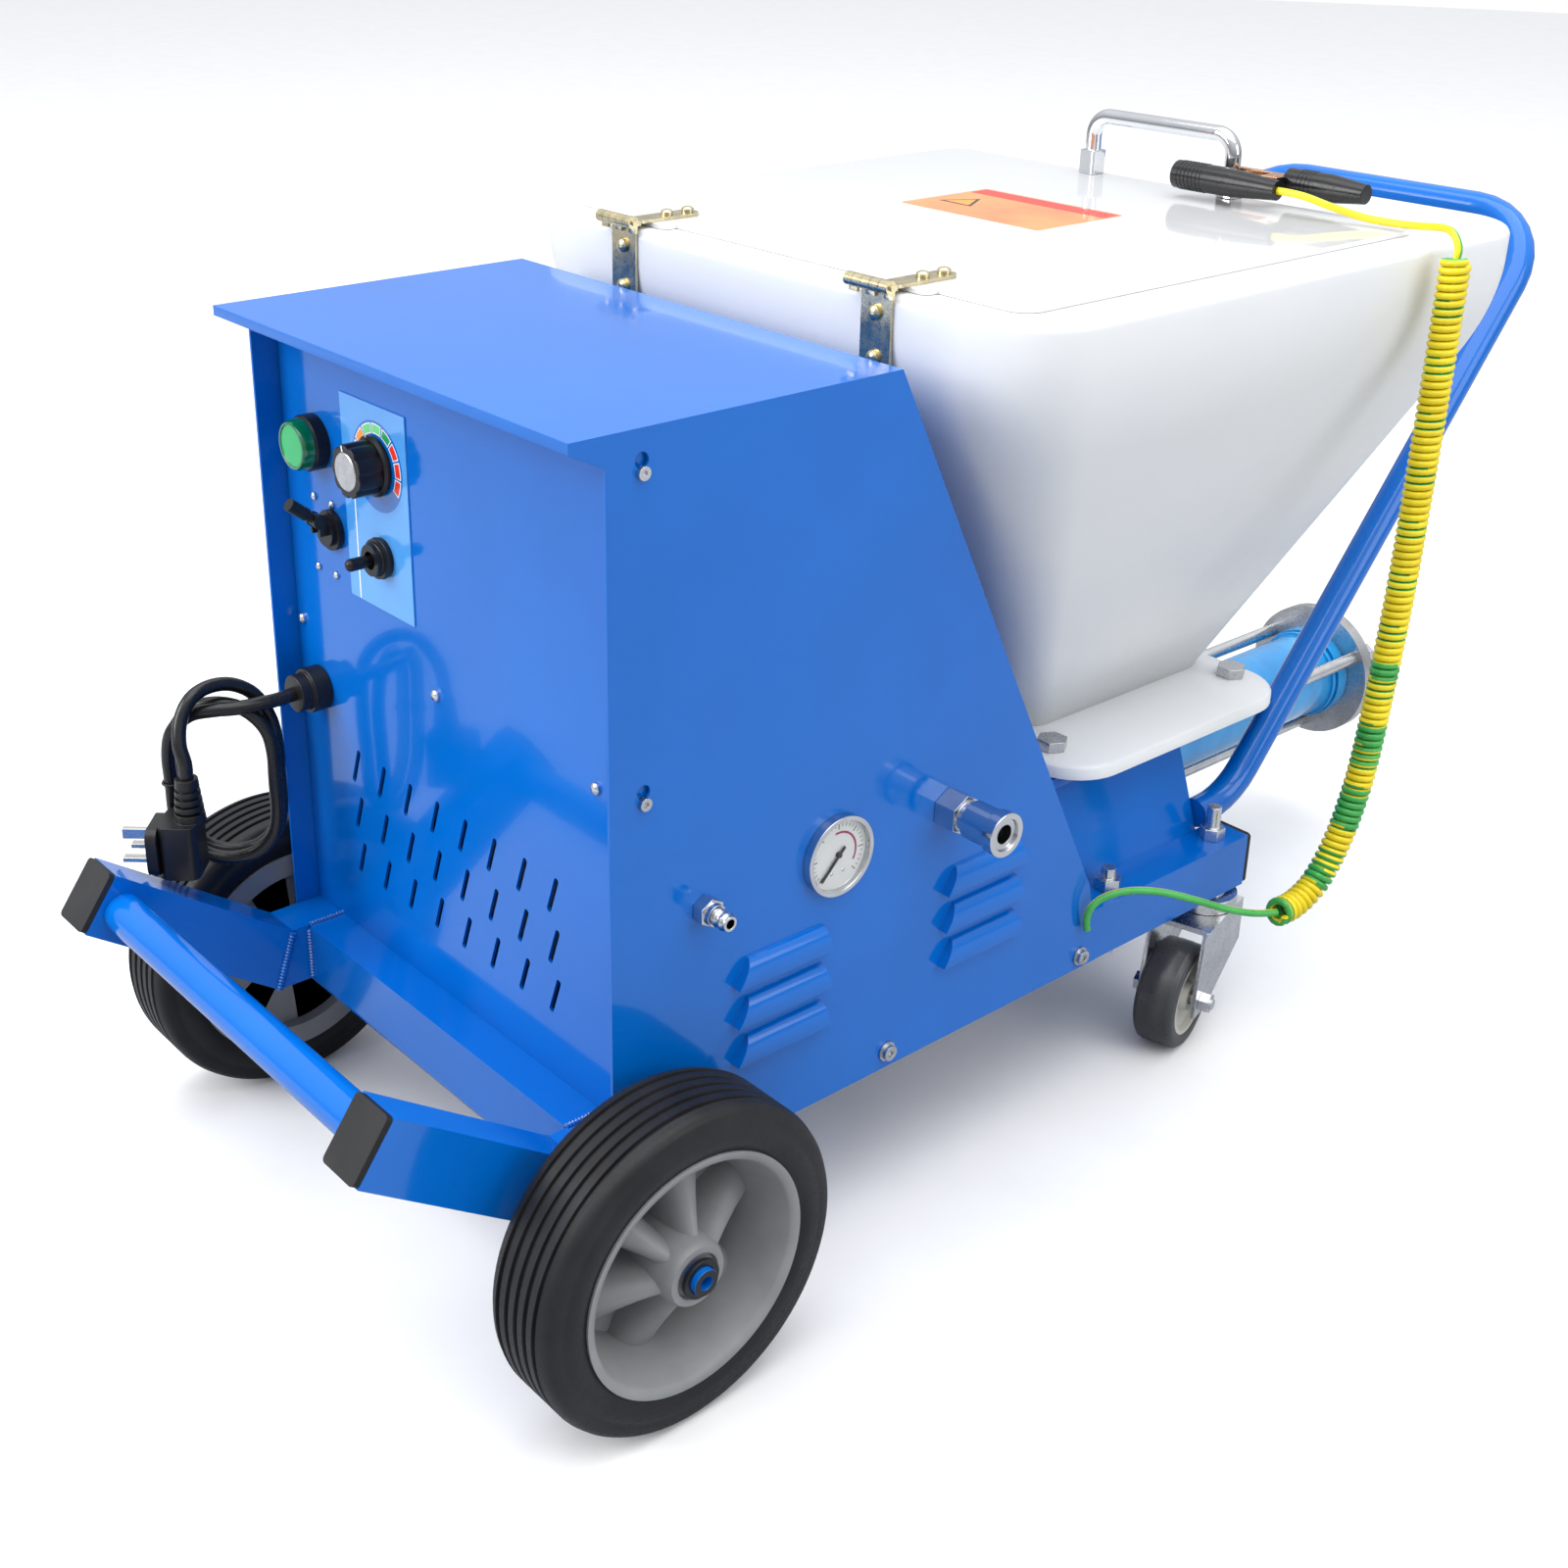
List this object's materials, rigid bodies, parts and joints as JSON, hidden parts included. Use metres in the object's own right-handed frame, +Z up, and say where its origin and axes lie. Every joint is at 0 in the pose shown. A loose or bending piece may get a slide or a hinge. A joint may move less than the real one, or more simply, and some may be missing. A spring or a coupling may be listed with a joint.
{
  "type": "hopper-fed material pump cart",
  "caption": "Wheeled cart with a white lidded hopper feeding a horizontal screw pump, driven from a blue sheet-metal control housing with knobs, lamp and louvres.",
  "frame": {"origin": "on the ground, at the middle of the cart's length and width (cords left out)", "axes": "+Z up; -Y is the side the control panel faces; +Y is the side the pump outlet and push handle point to; +X is the side with the gauge and air fittings"},
  "size_m": [0.5109, 1.0933, 0.6273],
  "materials": {
    "blue_paint": "gloss",
    "black_plastic": "satin",
    "zinc": "satin",
    "tyre_rubber": "matte",
    "hub_grey": "satin",
    "caster_grey": "satin",
    "lamp_green": "gloss",
    "label_blue": "gloss",
    "steel": "satin",
    "beige_plastic": "matte",
    "motor_grey": "satin",
    "cast_grey": "satin",
    "black_rubber": "satin",
    "poly_white": "satin, slightly translucent",
    "lid_white": "high gloss",
    "yellow_zinc": "satin",
    "chrome": "polished",
    "brass": "satin",
    "lead_yellow": "gloss"
  },
  "bodies": {
    "cart": {"left_frame_rail": "blue_paint", "right_frame_rail": "blue_paint", "front_cross_tube": "blue_paint", "bumper_cross_bar": "blue_paint", "saddle_bracket": "blue_paint", "push_handle": "blue_paint", "wheel_axle": "blue_paint", "housing_hood": "blue_paint", "front_panel": "blue_paint", "rear_panel": "blue_paint", "floor_pan": "blue_paint", "suction_housing": "blue_paint", "stator_tube": "blue_paint", "tube_end_caps": "black_plastic", "axle_lock_caps": "black_plastic", "wheel_spacers": "zinc", "caster_swivel_heads": "zinc", "panel_screws": "zinc", "housing_bolts": "zinc", "pilot_lamp": "lamp_green", "control_label": "label_blue", "speed_potentiometer": "steel", "toggle_body": "black_plastic", "breaker_body": "black_plastic", "inverter_box": "beige_plastic", "gearmotor": "motor_grey", "bearing_housing": "cast_grey", "stator_liner": "black_rubber", "outlet_flange": "steel", "tie_rods": "zinc", "hopper": "poly_white", "hopper_bolts": "zinc", "lid_hinge_straps": "yellow_zinc", "pressure_gauge": "steel", "air_line": "brass", "earth_lead_lower": "lead_yellow", "cable_gland": "black_plastic", "power_cord": "black_rubber", "power_plug": "black_plastic"},
    "lid": {"hopper_lid": "lid_white", "lid_hinge_leaves": "yellow_zinc", "lid_handle": "chrome", "earth_clamp_body": "black_rubber", "earth_lead_upper": "lead_yellow"},
    "clamp_jaw": {"earth_clamp_jaw": "black_rubber"},
    "right_wheel": {"right_tyre": "tyre_rubber", "right_wheel_hub": "hub_grey"},
    "left_wheel": {"left_tyre": "tyre_rubber", "left_wheel_hub": "hub_grey"},
    "right_caster": {"right_caster_fork": "zinc"},
    "left_caster": {"left_caster_fork": "zinc"},
    "right_caster_wheel": {"right_caster_wheel": "caster_grey"},
    "left_caster_wheel": {"left_caster_wheel": "caster_grey"},
    "speed_knob": {"speed_knob": "black_plastic"},
    "toggle_lever": {"toggle_lever": "black_plastic"},
    "breaker_lever": {"breaker_lever": "black_plastic"},
    "gauge_needle": {"gauge_needle": "black_plastic"},
    "coupler_sleeve": {"coupler_sleeve": "zinc"},
    "pump_rotor": {"drive_shaft": "steel", "feed_rotor": "steel"}
  },
  "joints": [
    {"name": "right_wheel_spin", "type": "hinge", "parent": "cart", "child": "right_wheel", "pos_m": [0.2155, -0.38286, 0.1], "axis": [1, 0, 0], "continuous": true},
    {"name": "left_wheel_spin", "type": "hinge", "parent": "cart", "child": "left_wheel", "pos_m": [-0.2155, -0.38286, 0.1], "axis": [1, 0, 0], "continuous": true},
    {"name": "right_caster_swivel", "type": "hinge", "parent": "cart", "child": "right_caster", "pos_m": [0.1575, 0.16614, 0.095], "axis": [0, 0, 1], "continuous": true},
    {"name": "right_caster_roll", "type": "hinge", "parent": "right_caster", "child": "right_caster_wheel", "pos_m": [0.16889, 0.12364, 0.039], "axis": [0.9659, 0.2588, 0], "continuous": true},
    {"name": "left_caster_swivel", "type": "hinge", "parent": "cart", "child": "left_caster", "pos_m": [-0.1575, 0.16614, 0.095], "axis": [0, 0, 1], "continuous": true},
    {"name": "left_caster_roll", "type": "hinge", "parent": "left_caster", "child": "left_caster_wheel", "pos_m": [-0.14611, 0.12364, 0.039], "axis": [0.9659, 0.2588, 0], "continuous": true},
    {"name": "lid_hinge", "type": "hinge", "parent": "cart", "child": "lid", "pos_m": [0, -0.15586, 0.5823], "axis": [1, 0, 0], "range_deg": [0, 110]},
    {"name": "clamp_pivot", "type": "hinge", "parent": "lid", "child": "clamp_jaw", "pos_m": [0.099, 0.23414, 0.5953], "axis": [0, 0, -1], "range_deg": [0, 14], "stiffness_Nm_per_rad": 2, "springref_deg": -17.19},
    {"name": "speed_knob_turn", "type": "hinge", "parent": "cart", "child": "speed_knob", "pos_m": [-0.0645, -0.38066, 0.4745], "axis": [0, -1, 0], "range_deg": [-135, 135]},
    {"name": "toggle_tilt", "type": "hinge", "parent": "cart", "child": "toggle_lever", "pos_m": [-0.062, -0.37166, 0.4195], "axis": [1, 0, 0], "range_deg": [-12, 12]},
    {"name": "breaker_throw", "type": "hinge", "parent": "cart", "child": "breaker_lever", "pos_m": [-0.119, -0.38216, 0.429], "axis": [1, 0, 0], "range_deg": [0, 60]},
    {"name": "gauge_needle_turn", "type": "hinge", "parent": "cart", "child": "gauge_needle", "pos_m": [0.177, -0.22686, 0.275], "axis": [-1, 0, 0], "range_deg": [0, 270]},
    {"name": "pump_drive", "type": "hinge", "parent": "cart", "child": "pump_rotor", "pos_m": [0, 0.11714, 0.131], "axis": [0, 1, 0], "continuous": true},
    {"name": "coupler_release", "type": "slide", "parent": "cart", "child": "coupler_sleeve", "axis": [-1, 0, 0], "range_m": [0, 0.004], "stiffness_N_per_m": 800, "springref_m": -0.004}
  ]
}
